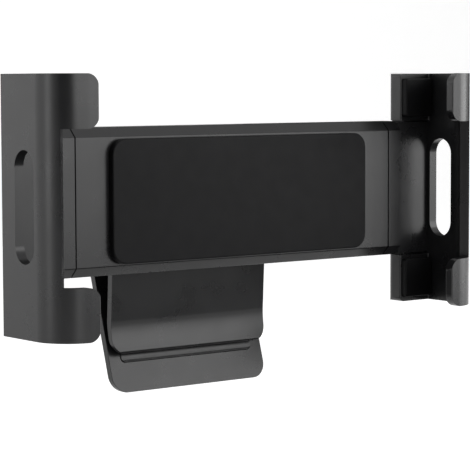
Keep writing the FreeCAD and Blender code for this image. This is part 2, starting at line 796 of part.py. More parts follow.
def clip_spring():
    """Torsion spring round the hinge pin, its coil shown as its outer form, with a leg on each plate."""
    outer = coil_inner_radius + 2 * coil_wire
    coil = rod_x(outer, -coil_half_length, coil_half_length, hinge_y(), hinge_z)
    coil = coil.cut(rod_x(coil_inner_radius, -coil_half_length, coil_half_length, hinge_y(), hinge_z))
    mean = outer - coil_wire
    top = hinge_z + coil_leg_height
    clear = coil_wire + slide_clearance
    legs = [
        (-coil_half_length + coil_wire, hinge_y() - mean, front_plate_back_y(top) + clear),
        (coil_half_length - coil_wire, hinge_y() + mean, rear_plate_y(top) - clear),
    ]
    for x, y_start, y_end in legs:
        start = V(x, y_start, hinge_z)
        along = V(x, y_end, top) - start
        coil = coil.fuse(Part.makeCylinder(coil_wire - running_clearance, along.Length, start, along))
    return coil.removeSplitter()


def build():
    """Every piece by name, in the drawing's place."""
    pieces = {
        "front_housing": front_housing(),
        "rear_housing": rear_housing(),
        "housing_screws": housing_screws(),
        "front_pad": front_pad(),
        "pinion": pinion(),
        "pinion_screw": pinion_screw(),
        "swivel_head": swivel_head(),
        "swivel_retainer": swivel_retainer(),
        "swivel_screws": swivel_screws(),
        "tilt_bolt": tilt_bolt(),
        "tilt_nut": tilt_nut(),
        "tilt_washers": tilt_washers(),
        "clip_front_plate": clip_front_plate(),
        "clip_rear_plate": clip_rear_plate(),
        "front_grip_pad": front_grip_pad(),
        "rear_grip_pad": rear_grip_pad(),
        "clip_pin": clip_pin(),
        "clip_pin_rings": clip_pin_rings(),
        "clip_spring": clip_spring(),
    }
    sides = {"right": (layer_rear, lambda shape: shape), "left": (layer_front, half_turn)}
    for side, (front, turned) in sides.items():
        pieces[side + "_jaw"] = turned(jaw(front))
        pieces[side + "_slider"] = turned(tongue(front))
        pieces[side + "_slider_screws"] = turned(jaw_screws(front))
        pieces[side + "_spring"] = turned(return_spring(front))
        upper_on_right = side == "right"
        pieces[side + "_upper_pad"] = turned(grip_pad(upper_on_right))
        pieces[side + "_lower_pad"] = turned(grip_pad(not upper_on_right))
    return pieces


os.makedirs("parts", exist_ok=True)
to_bite = V(0, -bite_y(), -bite_z)
for node, shape in build().items():
    shape.translate(to_bite)
    shape.exportStep("parts/" + node + ".step")
    print(node, "solids", len(shape.Solids), "volume", round(shape.Volume, 1), "valid", shape.isValid())
print("bite at", round(bite_y(), 4), bite_z, "tilt axis y", round(tilt_y, 4),
      "hinge", round(hinge_y(), 4), hinge_z)
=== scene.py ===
"""Looks of the clip-on tablet holder: mouldings, soft pads, springs and screws, and the studio round it.

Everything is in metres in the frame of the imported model. Its origin is the middle of the clip's bite,
X runs along the bar, Y from the tablet's face to the back, and Z up.
"""

import bmesh
import bpy
import json
import math
from mathutils import Matrix, Vector


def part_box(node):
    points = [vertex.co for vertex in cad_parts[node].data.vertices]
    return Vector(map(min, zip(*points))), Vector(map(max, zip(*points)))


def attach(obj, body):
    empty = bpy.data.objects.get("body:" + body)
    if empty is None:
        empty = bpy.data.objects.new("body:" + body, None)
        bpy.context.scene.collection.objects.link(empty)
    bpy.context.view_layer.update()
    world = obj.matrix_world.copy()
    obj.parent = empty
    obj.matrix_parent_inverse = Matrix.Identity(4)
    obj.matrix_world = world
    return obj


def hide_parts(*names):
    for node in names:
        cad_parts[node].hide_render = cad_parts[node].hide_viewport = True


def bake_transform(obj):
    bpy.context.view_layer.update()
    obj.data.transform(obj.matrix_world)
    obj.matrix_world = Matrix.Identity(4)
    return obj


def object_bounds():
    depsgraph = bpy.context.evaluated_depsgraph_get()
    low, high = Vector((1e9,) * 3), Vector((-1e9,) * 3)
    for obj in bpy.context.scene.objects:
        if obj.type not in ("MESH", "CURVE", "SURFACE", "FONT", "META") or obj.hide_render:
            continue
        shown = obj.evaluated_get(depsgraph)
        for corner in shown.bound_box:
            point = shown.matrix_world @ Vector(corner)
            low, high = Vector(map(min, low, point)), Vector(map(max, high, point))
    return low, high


bl_info = {
    "name": "Tablet Holder",
    "version": (1, 0, 0),
    "blender": (4, 5, 0),
    "location": "View3D > Sidebar > Tablet Holder",
    "description": "Builds the visible pieces of a clip-on tablet holder and the studio round it",
    "category": "Object",
}

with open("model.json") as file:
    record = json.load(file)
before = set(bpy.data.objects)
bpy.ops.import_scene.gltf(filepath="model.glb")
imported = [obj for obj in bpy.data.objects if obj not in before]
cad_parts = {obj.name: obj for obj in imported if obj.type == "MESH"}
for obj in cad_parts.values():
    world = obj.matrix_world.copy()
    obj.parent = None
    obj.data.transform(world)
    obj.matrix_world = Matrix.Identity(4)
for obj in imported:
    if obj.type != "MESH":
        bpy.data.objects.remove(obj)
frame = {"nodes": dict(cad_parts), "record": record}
cad_bounds = [list(corner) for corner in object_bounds()]

MM = 0.001
SIDES = ("left", "right")

# Bend of the clip's front plate, as the CAD has it and as the real plate shows it: the height of its
# middle, how far it spreads above and below that, and the change of slope
MADE_BEND = (3.0 * MM, 0.96 * MM, 0.243)
WANTED_BEND = (-0.5 * MM, 5.0 * MM, 0.343)
PLATE_THICKNESS = 2.4 * MM
CUTS_PER_RIB = 8

# Softboxes: turn and rise in degrees, distance, width and height in metres, and the setting of their level
PANELS = (
    ("side_panel", -125, 12, 1.3, 1.5, 1.1, "side_level"),
    ("strip_panel", -92, 12, 1.15, 0.3, 1.1, "strip_level"),
    ("right_panel", 65, 10, 1.3, 0.62, 0.95, "right_level"),
)
KEY_SIZE = (1.9, 0.78)
KEY_DISTANCE = 1.4
KEY_RISE = math.radians(9)
LIT_POINT = Vector((0.0, -0.02, 0.046))  # what the lights face: the middle of the bar

# Black cards that stand upright and paint dark reflections: turn in degrees and width in metres
STANDING_CARDS = (("standing_card", -47, 0.95), ("far_card", 120, 0.9))
CARD_DISTANCE = 1.15
CARD_HEIGHT = 1.3
CARD_DROP = 0.1  # how far a standing card reaches below the lit point
LYING_CARD = ((-0.05, -1.2), (0.45, -0.025))
LYING_CARD_LIFT = 2 * MM

BODY_OF = {node: body for body, nodes in frame["record"]["behaviour"]["bodies"].items() for node in nodes}
SLOT_OF = {part["node"]: part["material_slot"] for part in frame["record"]["subparts"]}


# Colours and materials

# Places of the colour sockets of a Mix node, whose names it shares with its other kinds of socket
MIX_COLOURS = (6, 7)
MIX_RESULT = 2


def linear(code):
    """Scene-linear red, green, blue and alpha of an sRGB hex colour."""
    channels = [int(code[start:start + 2], 16) / 255 for start in (1, 3, 5)]
    values = [c / 12.92 if c <= 0.04045 else ((c + 0.055) / 1.055) ** 2.4 for c in channels]
    return (*values, 1.0)


def add_node(tree, kind, settings=None, links=None):
    """Adds a shader node; settings go to its sockets or attributes, links join its inputs to outputs."""
    node = tree.nodes.new(kind)
    for key, value in (settings or {}).items():
        if key in node.inputs:
            node.inputs[key].default_value = value
        else:
            setattr(node, key, value)
    for key, output in (links or {}).items():
        tree.links.new(output, node.inputs[key])
    return node


def per_length(length):
    """Texture scale at which one feature of the pattern is about that many metres wide."""
    return 1.0 / length


def new_material(name):
    """A material with its tree, its output and the place on the object in metres."""
    material = bpy.data.materials.new(name)
    material.use_nodes = True
    tree = material.node_tree
    tree.nodes.clear()
    output = add_node(tree, "ShaderNodeOutputMaterial")
    place = add_node(tree, "ShaderNodeTexCoord")
    return material, tree, output, place.outputs["Object"]


def scaled(colour, amount):
    """The colour made that much lighter or darker."""
    return (*(min(1.0, amount * channel) for channel in colour[:3]), 1.0)


def finish_material(tree, output, settings, links):
    """Adds the surface's shader: settings that are even all over, and links for those that vary."""
    shader = add_node(tree, "ShaderNodeBsdfPrincipled", settings, links)
    tree.links.new(shader.outputs["BSDF"], output.inputs["Surface"])


def uneven(tree, place, size, low, high):
    """A value that wanders between low and high over patches about size metres wide."""
    noise = add_node(tree, "ShaderNodeTexNoise",
                     {"Scale": per_length(size), "Detail": 3.0}, {"Vector": place})
    spread = add_node(tree, "ShaderNodeMapRange",
                      {"From Min": 0.3, "From Max": 0.7, "To Min": low, "To Max": high},
                      {"Value": noise.outputs["Fac"]})
    return spread.outputs["Result"]


def patchy_colour(tree, place, size, dark, light):
    """A colour that wanders between dark and light over patches about size metres wide."""
    factor = uneven(tree, place, size, 0.0, 1.0)
    mix = add_node(tree, "ShaderNodeMix", {"data_type": "RGBA"})
    mix.inputs[MIX_COLOURS[0]].default_value = dark
    mix.inputs[MIX_COLOURS[1]].default_value = light
    tree.links.new(factor, mix.inputs["Factor"])
    return mix.outputs[MIX_RESULT]


def grain_bump(tree, place, size, depth, strength):
    """Fine all-over texture: grains about size metres wide and depth metres deep."""
    grain = add_node(tree, "ShaderNodeTexNoise",
                     {"Scale": per_length(size), "Detail": 2.0, "Roughness": 0.55}, {"Vector": place})
    bump = add_node(tree, "ShaderNodeBump", {"Strength": strength, "Distance": depth},
                    {"Height": grain.outputs["Fac"]})
    return bump.outputs["Normal"]


def textured_moulding(name, colour, grain, roughness):
    """ABS/PC blend, acetal or nylon from a spark-eroded mould: satin, with soft highlights along corners."""
    material, tree, output, place = new_material(name)
    finish_material(tree, output, {"IOR": 1.40}, {
        "Base Color": patchy_colour(tree, place, 14 * MM, colour, scaled(colour, 1.25)),
        "Roughness": uneven(tree, place, 9 * MM, roughness - 0.03, roughness + 0.03),
        "Normal": grain_bump(tree, place, grain, 0.02 * MM, 0.35),
    })
    return material


def silicone_rubber(name, colour, grain, roughness, sheen=0.13):
    """Moulded silicone rubber: even and matt with a faint broad sheen, or satin where sheen is higher."""
    material, tree, output, place = new_material(name)
    finish_material(tree, output, {"IOR": 1.41, "Specular IOR Level": sheen}, {
        "Base Color": patchy_colour(tree, place, 6 * MM, colour, scaled(colour, 1.2)),
        "Roughness": uneven(tree, place, 5 * MM, roughness - 0.04, roughness + 0.04),
        "Normal": grain_bump(tree, place, grain, 0.02 * MM, 0.4),
    })
    return material


def acetal(name, colour):
    """Natural acetal, as moulded for small gears: milky, smooth and slightly waxy."""
    material, tree, output, place = new_material(name)
    finish_material(tree, output, {"IOR": 1.48, "Subsurface Weight": 0.1, "Subsurface Scale": 0.6 * MM}, {
        "Base Color": patchy_colour(tree, place, 3 * MM, scaled(colour, 0.93), colour),
        "Roughness": uneven(tree, place, 2 * MM, 0.34, 0.44),
        "Normal": grain_bump(tree, place, 0.2 * MM, 0.01 * MM, 0.2),
    })
    return material


def steel(name, colour, roughness, grain):
    """Steel wire, pins and screws: drawn or turned, so their gloss varies finely from place to place."""
    material, tree, output, place = new_material(name)
    finish_material(tree, output, {"Metallic": 1.0}, {
        "Base Color": patchy_colour(tree, place, 1.5 * MM, scaled(colour, 0.8), colour),
        "Roughness": uneven(tree, place, 0.8 * MM, roughness - 0.06, roughness + 0.06),
        "Normal": grain_bump(tree, place, grain, 0.01 * MM, 0.25),
    })
    return material


def material_for(slot):
    """The finish of a material slot, made once."""
    look = bpy.context.scene.holder_look
    bar, clip, pad = (*look.bar_colour, 1.0), (*look.clip_colour, 1.0), (*look.pad_colour, 1.0)
    grain = 0.30 * MM  # about 0.1 mm on a real moulding, drawn coarser so that it shows
    makers = {
        "housing": lambda: textured_moulding("ABS_PC_satin_black_bar", bar, grain, 0.29),
        "jaw": lambda: textured_moulding("ABS_PC_satin_black_jaw", bar, grain, 0.29),
        "clip": lambda: textured_moulding("ABS_PC_satin_black_clip", clip, grain, 0.29),
        "pad": lambda: silicone_rubber("silicone_rubber_matt_black", pad, 0.25 * MM, 0.55),
        "grip": lambda: silicone_rubber("silicone_rubber_satin_black", clip, 0.25 * MM, 0.33, sheen=0.45),
        "slider": lambda: textured_moulding("acetal_black_slider", clip, 0.25 * MM, 0.36),
        "gear": lambda: acetal("acetal_natural_gear", (*look.gear_colour, 1.0)),
        "screw": lambda: steel("steel_black_zinc", (*look.screw_colour, 1.0), 0.36, 0.08 * MM),
        "pin": lambda: steel("steel_drawn_bright", (*look.pin_colour, 1.0), 0.26, 0.08 * MM),
        "spring": lambda: steel("steel_spring_wire", (*look.spring_colour, 1.0), 0.30, 0.06 * MM),
        "washer": lambda: textured_moulding("nylon_washer_black", clip, 0.2 * MM, 0.5),
    }
    if slot not in material_for.made:
        material_for.made[slot] = makers[slot]()
    return material_for.made[slot]


material_for.made = {}


# Meshes

def even_normals(mesh, smooth_below=math.radians(36)):
    """Shades flat faces flat and runs the shading smoothly over what rounds them."""
    weights = [polygon.area ** 2 for polygon in mesh.polygons]
    flats = [polygon.normal.copy() for polygon in mesh.polygons]
    around = [[] for _ in mesh.vertices]
    for polygon in mesh.polygons:
        for vertex in polygon.vertices:
            around[vertex].append(polygon.index)
    limit = math.cos(smooth_below)
    normals = []
    for polygon in mesh.polygons:
        own = flats[polygon.index]
        for vertex in polygon.vertices:
            total = Vector((0, 0, 0))
            for other in around[vertex]:
                if flats[other].dot(own) >= limit:
                    total += flats[other] * weights[other]
            normals.append(total.normalized() if total.length > 0 else own)
    for polygon in mesh.polygons:
        polygon.use_smooth = True
    mesh.normals_split_custom_set(normals)


def placed(name, data):
    """A new object of the scene that holds the data."""
    item = bpy.data.objects.new(name, data)
    bpy.context.scene.collection.objects.link(item)
    return item


def finished_piece(name, mesh, node):
    """A piece that stands for a CAD node and takes its finish."""
    even_normals(mesh)
    piece = placed(name, mesh)
    mesh.materials.clear()
    mesh.materials.append(material_for(SLOT_OF[node]))
    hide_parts(node)
    return piece


def new_piece(name, mesh, node):
    """A piece that stands for a CAD node, takes its finish and rides its body."""
    piece = finished_piece(name, mesh, node)
    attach(piece, BODY_OF[node])
    return piece


def clean_copy(node):
    """The node's surface as one closed mesh, with each flat face whole."""
    work = bmesh.new()
    work.from_mesh(frame["nodes"][node].data)
    bmesh.ops.remove_doubles(work, verts=work.verts, dist=0.002 * MM)
    bmesh.ops.dissolve_limit(work, angle_limit=math.radians(0.6), verts=work.verts, edges=work.edges)
    return work


def into_mesh(work, mesh):
    """Puts the bmesh into the mesh and frees it."""
    work.to_mesh(mesh)
    work.free()
    return mesh


def clean_mesh(node, name):
    """The node's cleaned surface as a mesh."""
    return into_mesh(clean_copy(node), bpy.data.meshes.new(name))


def cut_across(work, height):
    """Cuts the surface level at that height and gives what lies on the cut."""
    everything = [*work.verts, *work.edges, *work.faces]
    cut = bmesh.ops.bisect_plane(work, geom=everything, plane_co=(0, 0, height), plane_no=(0, 0, 1))
    return cut["geom_cut"]


def rounded(mesh, width, segments=3, above=math.radians(33)):
    """The mesh with its sharp edges rounded to that radius."""
    blank = placed("rounding", mesh)
    bevel = blank.modifiers.new("round", "BEVEL")
    bevel.width = width
    bevel.segments = segments
    bevel.limit_method = "ANGLE"
    bevel.angle_limit = above
    bevel.use_clamp_overlap = True
    bevel.miter_outer = "MITER_ARC"
    graph = bpy.context.evaluated_depsgraph_get()
    result = bpy.data.meshes.new_from_object(blank.evaluated_get(graph))
    bpy.data.objects.remove(blank)
    return result


def moulding(node, name, edge):
    """A hard piece: the CAD node's shape with its edges rounded."""
    new_piece(name, rounded(clean_mesh(node, name), edge), node)


def rings_to_mesh(name, rings):
    """Skin over rings of as many points each, in order, closed at both ends."""
    count = len(rings[0])
    points = [point for ring in rings for point in ring]
    faces = []
    for ring in range(len(rings) - 1):
        for step in range(count):
            after = (step + 1) % count
            low, high = ring * count, (ring + 1) * count
            faces.append((low + step, low + after, high + after, high + step))
    last = (len(rings) - 1) * count
    faces.append(tuple(reversed(range(count))))
    faces.append(tuple(range(last, last + count)))
    mesh = bpy.data.meshes.new(name)
    mesh.from_pydata(points, [], faces)
    work = bmesh.new()
    work.from_mesh(mesh)
    bmesh.ops.recalc_face_normals(work, faces=work.faces)
    return into_mesh(work, mesh)


def carved(mesh, cutters, operation="DIFFERENCE"):
    """The mesh less the cutters, or joined with them; they are used up."""
    blank = placed("blank", mesh)
    tools = [placed("cutter", cutter) for cutter in cutters]
    for tool in tools:
        cut = blank.modifiers.new("cut", "BOOLEAN")
        cut.operation = operation
        cut.solver = "EXACT"
        cut.object = tool
    graph = bpy.context.evaluated_depsgraph_get()
    result = bpy.data.meshes.new_from_object(blank.evaluated_get(graph))
    for item in (blank, *tools):
        bpy.data.objects.remove(item)
    return result


# Jaws

def neck_filler(side):
    """Wedge that evens out the neck's front from beside the collar to the side wall."""
    low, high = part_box(side + "_jaw")
    sign = -1 if side == "left" else 1
    outer = max(abs(low.x), abs(high.x))
    wall, collar = outer - 3.0 * MM, outer - 17.0 * MM  # from the collar's end to inside the side wall
    front, back = low.y + 25.0 * MM, low.y + 28.2 * MM
    half_height = 23.0 * MM
    outline = [(wall, front), (wall, back), (collar, back), (collar, front)]
    middle = (low.z + high.z) / 2
    return rings_to_mesh("filler", [[(sign * x, y, middle + height) for x, y in outline]
                                    for height in (-half_height, half_height)])


def jaw_moulding(side, edge):
    """A jaw: the CAD node's shape with the front of its neck evened out and its edges rounded."""
    node = side + "_jaw"
    name = node + "_moulding"
    filled = carved(clean_mesh(node, name), [neck_filler(side)], "UNION")
    new_piece(name, rounded(filled, edge), node)


# Soft pads

def rounded_rectangle(width, height, corner, steps=7):
    """Points round a rectangle with round corners, about its middle."""
    points = []
    for quarter, (side, up) in enumerate(((1, 1), (-1, 1), (-1, -1), (1, -1))):
        for step in range(steps + 1):
            turn = math.pi / 2 * (quarter + step / steps)
            points.append((side * (width / 2 - corner) + corner * math.cos(turn),
                           up * (height / 2 - corner) + corner * math.sin(turn)))
    return points


def crowned_pad(node, name, edge, corner, crown):
    """A moulded pad that faces -Y, with upright sides, a rounded rim and a face that rises to its middle."""
    low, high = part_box(node)
    centre = (low + high) / 2
    width, height = high.x - low.x, high.z - low.z
    levels = [(0.0, high.y), (0.0, low.y + crown + edge)]
    rim_steps = 5
    for step in range(1, rim_steps + 1):
        turn = math.pi / 2 * step / rim_steps
        levels.append((edge * (1 - math.cos(turn)), low.y + crown + edge * (1 - math.sin(turn))))
    crown_steps = 6
    reach = height / 2 - corner
    for step in range(1, crown_steps + 1):
        share = step / crown_steps
        levels.append((edge + (reach - edge) * share, low.y + crown * (1 - share) ** 2))
    rings = []
    for inset, y in levels:
        outline = rounded_rectangle(width - 2 * inset, height - 2 * inset, max(corner - inset, 0.25 * corner))
        rings.append([(centre.x + x, y, centre.z + z) for x, z in outline])
    new_piece(name, rings_to_mesh(name, rings), node)


def bend_depth(height, middle, reach, slope):
    """How far a bent face has come forward at that height, for a bend spread over reach about its middle."""
    drop = middle - height
    if drop <= -reach:
        return 0.0
    return slope * drop if drop >= reach else slope * (drop + reach) ** 2 / (4 * reach)


def softened_bend(mesh):
    """Moves the front face of the clip's front plate from its bend as made to the wanted one."""
    below = 1.0 * MM  # the cuts start this far above the plate's end
    work = bmesh.new()
    work.from_mesh(mesh)
    low = min(vertex.co.z for vertex in work.verts)
    top = WANTED_BEND[0] + WANTED_BEND[1]
    cuts = 22
    levels = [low + below + (top - low - below) * cut / cuts for cut in range(cuts + 1)]
    levels = sorted(levels + [MADE_BEND[0] - MADE_BEND[1], MADE_BEND[0] + MADE_BEND[1]])
    fronts = [min(item.co.y for item in cut_across(work, level) if isinstance(item, bmesh.types.BMVert))
              for level in levels]
    for vertex in work.verts:
        after = min(max(1, sum(level < vertex.co.z for level in levels)), len(levels) - 1)
        share = (vertex.co.z - levels[after - 1]) / (levels[after] - levels[after - 1])
        front = fronts[after - 1] + (fronts[after] - fronts[after - 1]) * share
        amount = min(1.0, max(0.0, 1 - (vertex.co.y - front) / PLATE_THICKNESS))
        vertex.co.y += amount * (bend_depth(vertex.co.z, *MADE_BEND) - bend_depth(vertex.co.z, *WANTED_BEND))
    return into_mesh(work, mesh)


def bent_plate(node, name, edge):
    """A clip plate whose bend is a long soft curve."""
    new_piece(name, softened_bend(rounded(clean_mesh(node, name), edge)), node)


def ribbed_grip(node, name, facing, pitch, depth, edge):
    """A rubber grip with ribs across it on the face that looks along facing."""
    mesh = rounded(clean_mesh(node, name), edge)
    work = bmesh.new()
    work.from_mesh(mesh)
    low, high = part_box(node)
    cuts = int((high.z - low.z) / pitch * CUTS_PER_RIB)
    for cut in range(1, cuts):
        cut_across(work, low.z + (high.z - low.z) * cut / cuts)
    work.normal_update()
    outer = {vertex for face in work.faces if face.normal.dot(facing) > 0.8 for vertex in face.verts}
    fade = 4 * edge
    for vertex in outer:
        from_side = min(vertex.co.x - low.x, high.x - vertex.co.x) / fade
        wave = 0.5 - 0.5 * math.cos(2 * math.pi * (vertex.co.z - low.z) / pitch)
        vertex.co -= facing * depth * wave * min(1.0, max(0.0, from_side))
    piece = new_piece(name, into_mesh(work, mesh), node)
    mesh.materials[0] = material_for("grip")


# Screws and bolts

def separate_solids(node):
    """Corner points of each separate solid of a CAD node."""
    work = clean_copy(node)
    work.verts.ensure_lookup_table()
    left = set(work.verts)
    groups = []
    while left:
        group, front = [], [left.pop()]
        while front:
            vertex = front.pop()
            group.append(vertex.co.copy())
            for edge in vertex.link_edges:
                other = edge.other_vert(vertex)
                if other in left:
                    left.remove(other)
                    front.append(other)
        groups.append(group)
    work.free()
    return sorted(groups, key=lambda group: tuple(round(value, 5) for value in group_middle(group)))


def group_middle(points):
    """Middle of the box round the points."""
    low = Vector([min(point[axis] for point in points) for axis in range(3)])
    high = Vector([max(point[axis] for point in points) for axis in range(3)])
    return (low + high) / 2


def turned_steps(points, out):
    """Steps (start, end, radius) of a turned piece along out, from tip to head, and its middle."""
    centre = group_middle(points)
    levels = {}
    for point in points:
        along = round((point - centre).dot(out) / MM, 3) * MM
        across = ((point - centre) - out * (point - centre).dot(out)).length
        levels[along] = max(levels.get(along, 0.0), across)
    places = sorted(levels)
    steps = [(a, b, min(levels[a], levels[b])) for a, b in zip(places, places[1:])]
    thinnest = 0.05 * MM
    return [step for step in steps if step[1] - step[0] > thinnest], centre


def frame_along(out):
    """Two directions square to out and to each other."""
    first = Vector((0, 0, 1)) if abs(out.z) < 0.9 else Vector((1, 0, 0))
    second = out.cross(first)
    return first, second


def cross_cutters(radius, top, depth):
    """Two crossing tapered blades for a cross recess."""
    corners = ((1, 1), (-1, 1), (-1, -1), (1, -1))
    blades = []
    for turn in (0.0, math.pi / 2):
        along = (math.cos(turn), math.sin(turn))
        across = (-along[1], along[0])
        rings = []
        for height, reach, half in ((top + depth, 0.66, 0.15), (top - depth, 0.36, 0.11)):
            rings.append([(radius * (reach * a * along[0] + half * b * across[0]),
                           radius * (reach * a * along[1] + half * b * across[1]), height)
                          for a, b in corners])
        blades.append(rings_to_mesh("blade", rings))
    return blades


def hexagon_cutter(radius, top, depth):
    """A six-sided prism for a socket."""
    reach = 0.55 * radius
    turns = [math.pi / 3 * side for side in range(6)]
    corners = [(reach * math.cos(turn), reach * math.sin(turn)) for turn in turns]
    return [rings_to_mesh("socket", [[(x, y, height) for x, y in corners]
                                     for height in (top + depth, top - depth)])]


def fastener_mesh(name, steps, recess, thread_share):
    """A screw along +Z: tapered threaded tip, plain steps and a chamfered head with a driver recess."""
    around = 28
    turns = [2 * math.pi * index / around for index in range(around)]
    rings = []

    def ring(height, radius):
        rings.append([(radius * math.cos(turn), radius * math.sin(turn), height) for turn in turns])

    start, end, radius = steps[0]
    pitch = 0.42 * radius
    root = 0.82 * radius
    thread_end = start + (end - start) * thread_share
    ring(start, 0.55 * radius)
    per_turn = 5
    count = max(2, int((thread_end - start) / pitch * per_turn))
    for index in range(1, count):
        height = start + (thread_end - start) * index / count
        points = []
        for turn in turns:
            phase = ((height - start) / pitch - turn / (2 * math.pi)) % 1.0
            crest = 1.0 - abs(2 * phase - 1.0)
            reach = root + (radius - root) * crest * min(1.0, 0.25 + (height - start) / (2 * pitch))
            points.append((reach * math.cos(turn), reach * math.sin(turn), height))
        rings.append(points)
    ring(thread_end, radius if thread_share < 1 else root)
    for index, (low, high, reach) in enumerate(steps):
        chamfer = min(0.12 * reach, 0.25 * (high - low))
        if index > 0:
            ring(low, reach - 0.3 * chamfer)
            ring(low + 0.3 * chamfer, reach)
            ring(high - chamfer, reach)
            ring(high, reach - chamfer)
        elif thread_share < 1:
            ring(high, reach)
    base, top, radius = steps[-1]
    return carved(rings_to_mesh(name, rings), recess(radius, top, 0.62 * (top - base)))


def fasteners(node, name, out, recess=cross_cutters, thread_share=1.0):
    """All screws of a node, each with its head towards out."""
    first, second = frame_along(out)
    turn = Matrix((first, second, out)).transposed().to_4x4()
    for index, points in enumerate(separate_solids(node)):
        steps, centre = turned_steps(points, out)
        mesh = fastener_mesh(name, steps, recess, thread_share)
        mesh.transform(Matrix.Translation(centre) @ turn)
        new_piece(name + "_" + str(index + 1), mesh, node)


# Springs

def tube_along(name, path, radius, around=8):
    """Round wire along a path of points, with rounded ends."""
    rings = []
    side = None
    last = len(path) - 1
    for index, point in enumerate(path):
        along = (path[min(index + 1, last)] - path[max(index - 1, 0)]).normalized()
        if side is None:
            side = along.orthogonal().normalized()
        side = (side - along * side.dot(along)).normalized()
        up = along.cross(side)
        reach = 0.6 * radius if index in (0, last) else radius
        rings.append([point + reach * (math.cos(turn) * side + math.sin(turn) * up)
                      for turn in (2 * math.pi * step / around for step in range(around))])
    return rings_to_mesh(name, rings)


def helix(centre, radius, start, end, turns, lead_in=0.0, closed_turns=0.0):
    """Points of a coil about an axis along X, from start to end, with that many close turns at each end."""
    points = []
    per_turn = 16
    count = int(turns * per_turn)
    for index in range(count + 1):
        share = index / count
        turn = 2 * math.pi * turns * share + lead_in
        pace = ease_ends(share, closed_turns / turns)
        points.append(Vector((start + (end - start) * pace, centre.y + radius * math.cos(turn),
                              centre.z + radius * math.sin(turn))))
    return points


def ease_ends(share, closed):
    """Runs from 0 to 1, at a third of the pace over the closed share at each end."""
    if closed == 0:
        return share
    slow = 1 / 3
    fast = (1 - 2 * closed * slow) / (1 - 2 * closed)
    if share < closed:
        return share * slow
    if share > 1 - closed:
        return 1 - (1 - share) * slow
    return closed * slow + (share - closed) * fast


def return_coil(side, wire):
    """The tension spring that draws a jaw in, from its boss in the bar to its lug on the slider."""
    node = side + "_spring"
    low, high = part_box(node)
    centre = (low + high) / 2
    outer = (high.z - low.z) / 2
    fixed, moving = (high.x, low.x) if side == "left" else (low.x, high.x)
    inset = math.copysign(wire / 2, moving - fixed)
    pitch = 3.2 * wire
    turns = round(abs(moving - fixed) / pitch)
    path = helix(centre, outer - wire / 2, fixed + inset, moving - inset, turns, closed_turns=1.5)
    piece = finished_piece(side + "_return_coil", tube_along(node, path, wire / 2), node)
    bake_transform(piece)


def clip_coil(wire):
    """The torsion spring round the hinge pin, with a straight leg on each plate."""
    low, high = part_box("clip_spring")
    pin_low, pin_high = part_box("clip_pin")
    hinge = (pin_low + pin_high) / 2
    mean = hinge.z - low.z - wire / 2
    half = (high.x - low.x) / 2 - wire / 2
    coil = helix(hinge, mean, -half, half, turns=6.5, lead_in=math.pi)
    top = high.z - wire / 2
    front_leg = [Vector((-half, low.y + wire / 2 + (hinge.y - mean - low.y - wire / 2) * share,
                         top + (hinge.z - top) * share)) for share in (0.0, 0.3, 0.6, 0.9)]
    rear_leg = [Vector((half, hinge.y + mean + (high.y - wire / 2 - hinge.y - mean) * share,
                        hinge.z + (top - hinge.z) * share)) for share in (0.1, 0.4, 0.7, 1.0)]
    mesh = tube_along("clip_coil", front_leg + coil + rear_leg, wire / 2, around=10)
    piece = finished_piece("clip_coil", mesh, "clip_spring")
    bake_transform(piece)


# Stage

def aim_rotation(yaw, pitch, roll):
    """Rotation of a camera that looks along +Y, turned yaw to the right, pitch down and roll."""
    forward = Vector((math.sin(yaw) * math.cos(pitch), math.cos(yaw) * math.cos(pitch), -math.sin(pitch)))
    right = forward.cross(Vector((0, 0, 1))).normalized()
    up = right.cross(forward)
    level = Matrix((right, up, -forward)).transposed()
    return level @ Matrix.Rotation(roll, 3, "Z")


def from_lit_point(turn, rise, distance):
    """A point that far from the lit point, turn from straight in front towards +X and rise above level."""
    return LIT_POINT + distance * Vector((math.sin(turn) * math.cos(rise), -math.cos(turn) * math.cos(rise),
                                          math.sin(rise)))


def soft_panel(name, turn, rise, distance, width, height, level):
    """Softbox facing the holder; level is how bright its face is, where 1 is white."""
    lamp = bpy.data.lights.new(name, "AREA")
    lamp.shape = "RECTANGLE"
    lamp.size = width
    lamp.size_y = height
    lamp.energy = level * math.pi * width * height
    rig = placed(name, lamp)
    rig.location = from_lit_point(turn, rise, distance)
    rig.rotation_euler = (LIT_POINT - rig.location).to_track_quat("-Z", "Y").to_euler()


def black_card(name, corners):
    """Black sheet that only reflections see, a painted dark reflection; it darkens what mirrors it and leaves
    the light as it is.
    """
    # Painted dark reflection: this black shows only where a glossy surface mirrors the sheet
    material, tree, output, place = new_material("painted_reflection_black_matt")
    finish_material(tree, output, {"Roughness": 0.95, "Sheen Weight": 0.05}, {
        "Base Color": patchy_colour(tree, place, 40 * MM, linear("#080808"), linear("#0b0b0b")),
        "Normal": grain_bump(tree, place, 1.0 * MM, 0.1 * MM, 0.4),
    })
    mesh = bpy.data.meshes.new(name)
    mesh.from_pydata(corners, [], [(0, 1, 2, 3)])
    mesh.materials.append(material)
    card = placed(name, mesh)
    card.visible_camera = False
    card.visible_diffuse = False
    card.visible_shadow = False


def standing_card(name, turn, width):
    """Upright black card that paints the dark reflected bands along bent corners."""
    across = Vector((math.cos(turn), math.sin(turn), 0))
    middle = from_lit_point(turn, 0.0, CARD_DISTANCE)
    up = Vector((0, 0, 1))
    black_card(name, [middle + across * side * width / 2 + up * (rise * CARD_HEIGHT - CARD_DROP)
                      for side, rise in ((-1, 0), (1, 0), (1, 1), (-1, 1))])


def lying_card(name, height):
    """Black card level under the holder that paints a dark reflection into what faces down."""
    (left, near), (right, far) = LYING_CARD
    black_card(name, [(left, near, height), (right, near, height), (right, far, height), (left, far, height)])


